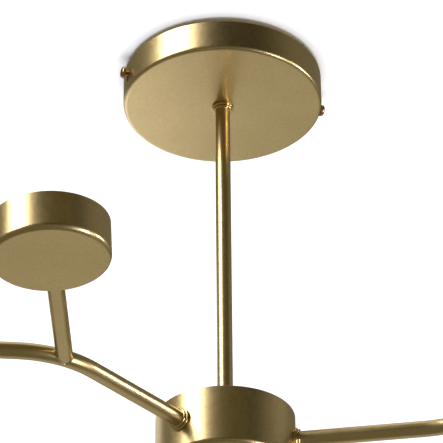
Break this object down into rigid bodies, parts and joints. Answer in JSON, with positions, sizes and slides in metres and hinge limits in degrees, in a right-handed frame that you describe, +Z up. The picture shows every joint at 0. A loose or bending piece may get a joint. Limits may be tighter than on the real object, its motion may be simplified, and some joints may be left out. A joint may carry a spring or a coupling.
{
  "type": "multi arm chandelier",
  "caption": "Ceiling chandelier: round canopy, straight down rod, drum hub and bent tube arms, each with a side branch and round lamp heads that light upwards.",
  "frame": {"origin": "middle of the ceiling strap's upper face, on the ceiling, on the rod's axis", "axes": "+Z up into the ceiling, along the rod; +X along arm 1, away from the hub"},
  "size_m": [0.7834, 0.7824, 0.362],
  "materials": {
    "satin_brass": "satin",
    "polished_brass": "polished",
    "bronze_screws": "satin",
    "zinc_steel": "zinc plated",
    "opal_diffuser": "opal satin",
    "led_aluminium": "white coated",
    "white_plastic": "moulded",
    "wire_sheath": "matte"
  },
  "bodies": {
    "ceiling_mount": {"ceiling_strap": "zinc_steel", "pivot_bolt": "zinc_steel"},
    "bar": {"swivel_bar": "zinc_steel", "earth_screw": "polished_brass", "terminal_block": "white_plastic"},
    "left_screw": {"side_screw_left": "bronze_screws"},
    "right_screw": {"side_screw_right": "bronze_screws"},
    "fixture": {"canopy": "satin_brass", "canopy_collar": "polished_brass", "canopy_nipple": "zinc_steel", "canopy_washer": "zinc_steel", "canopy_locknut": "zinc_steel", "down_rod": "satin_brass", "supply_cable": "wire_sheath", "hub_collar": "polished_brass", "hub_nipple": "zinc_steel", "hub_washer": "zinc_steel", "hub_locknut": "zinc_steel", "hub_cup": "satin_brass", "hub_lid": "satin_brass", "lid_screws": "bronze_screws", "led_driver": "white_plastic", "arm_tube_1": "satin_brass", "branch_tube_1": "satin_brass", "arm_collar_1": "polished_brass", "arm_wires_1": "wire_sheath", "arm_tube_2": "satin_brass", "branch_tube_2": "satin_brass", "arm_collar_2": "polished_brass", "arm_wires_2": "wire_sheath", "arm_tube_3": "satin_brass", "branch_tube_3": "satin_brass", "arm_collar_3": "polished_brass", "arm_wires_3": "wire_sheath", "arm_nipples": "zinc_steel", "arm_washers": "zinc_steel", "arm_locknuts": "zinc_steel", "head_nipples": "zinc_steel", "head_locknuts": "zinc_steel"},
    "inner_head_1": {"inner_head_cup_1": "satin_brass", "inner_led_board_1": "led_aluminium", "inner_diffuser_1": "opal_diffuser"},
    "outer_head_1": {"outer_head_cup_1": "satin_brass", "outer_led_board_1": "led_aluminium", "outer_diffuser_1": "opal_diffuser"},
    "inner_head_2": {"inner_head_cup_2": "satin_brass", "inner_led_board_2": "led_aluminium", "inner_diffuser_2": "opal_diffuser"},
    "outer_head_2": {"outer_head_cup_2": "satin_brass", "outer_led_board_2": "led_aluminium", "outer_diffuser_2": "opal_diffuser"},
    "inner_head_3": {"inner_head_cup_3": "satin_brass", "inner_led_board_3": "led_aluminium", "inner_diffuser_3": "opal_diffuser"},
    "outer_head_3": {"outer_head_cup_3": "satin_brass", "outer_led_board_3": "led_aluminium", "outer_diffuser_3": "opal_diffuser"}
  },
  "joints": [
    {"name": "strap_swivel", "type": "hinge", "parent": "ceiling_mount", "child": "bar", "pos_m": [0, 0, 0], "axis": [0, 0, 1], "range_deg": [-25, 25]},
    {"name": "canopy_lift", "type": "slide", "parent": "bar", "child": "fixture", "axis": [0, 0, 1], "range_m": [0, 0.0038]},
    {"name": "left_screw_travel", "type": "slide", "parent": "bar", "child": "left_screw", "axis": [-0.8829, -0.4695, 0], "range_m": [-0.0024, 0.004]},
    {"name": "right_screw_travel", "type": "slide", "parent": "bar", "child": "right_screw", "axis": [0.8829, 0.4695, 0], "range_m": [-0.0043, 0.002]},
    {"name": "inner_head_1_turn", "type": "hinge", "parent": "fixture", "child": "inner_head_1", "pos_m": [0.29011, 0.08984, -0.3378], "axis": [0.7815, 0.6239, 0], "range_deg": [-90, 90]},
    {"name": "outer_head_1_turn", "type": "hinge", "parent": "fixture", "child": "outer_head_1", "pos_m": [0.36296, -0.18348, -0.3378], "axis": [0.7071, -0.7071, 0], "range_deg": [-90, 90]},
    {"name": "inner_head_2_turn", "type": "hinge", "parent": "fixture", "child": "inner_head_2", "pos_m": [-0.22286, 0.20632, -0.3378], "axis": [-0.9311, 0.3649, 0], "range_deg": [-90, 90]},
    {"name": "outer_head_2_turn", "type": "hinge", "parent": "fixture", "child": "outer_head_2", "pos_m": [-0.02258, 0.40607, -0.3378], "axis": [0.2588, 0.9659, 0], "range_deg": [-90, 90]},
    {"name": "inner_head_3_turn", "type": "hinge", "parent": "fixture", "child": "inner_head_3", "pos_m": [-0.06725, -0.29616, -0.3378], "axis": [0.1495, -0.9888, 0], "range_deg": [-90, 90]},
    {"name": "outer_head_3_turn", "type": "hinge", "parent": "fixture", "child": "outer_head_3", "pos_m": [-0.34038, -0.22259, -0.3378], "axis": [-0.9659, -0.2588, 0], "range_deg": [-90, 90]}
  ]
}
